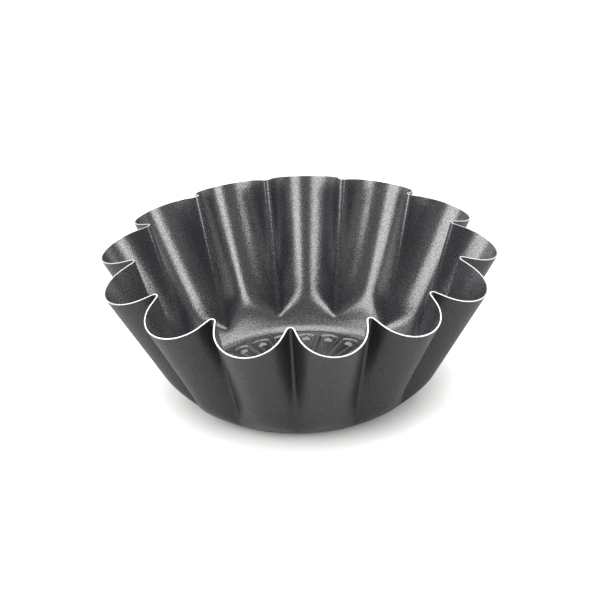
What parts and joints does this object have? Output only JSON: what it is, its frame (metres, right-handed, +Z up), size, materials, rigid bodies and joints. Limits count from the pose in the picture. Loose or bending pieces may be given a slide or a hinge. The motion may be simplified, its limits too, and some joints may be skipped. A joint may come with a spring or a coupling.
{
  "type": "pudding mould",
  "caption": "Deep fluted pudding or brioche mould pressed from one coated sheet, with flared scalloped walls and a rosette stamped in its floor.",
  "frame": {"origin": "on the mould's own axis, at the level of the surface that it stands on, which is the bottom centre of its bounding box within 1.3 mm", "axes": "+Z up out of the open top, along the mould's axis; the first inward ridge of the wall points to -Y"},
  "size_m": [0.1992, 0.1982, 0.0751],
  "materials": {
    "coated_steel": "satin dark non-stick coating on steel sheet, bare bright metal only at the cut edge of the rim"
  },
  "bodies": {
    "root": {"fluted_mould": "coated_steel"}
  },
  "joints": []
}
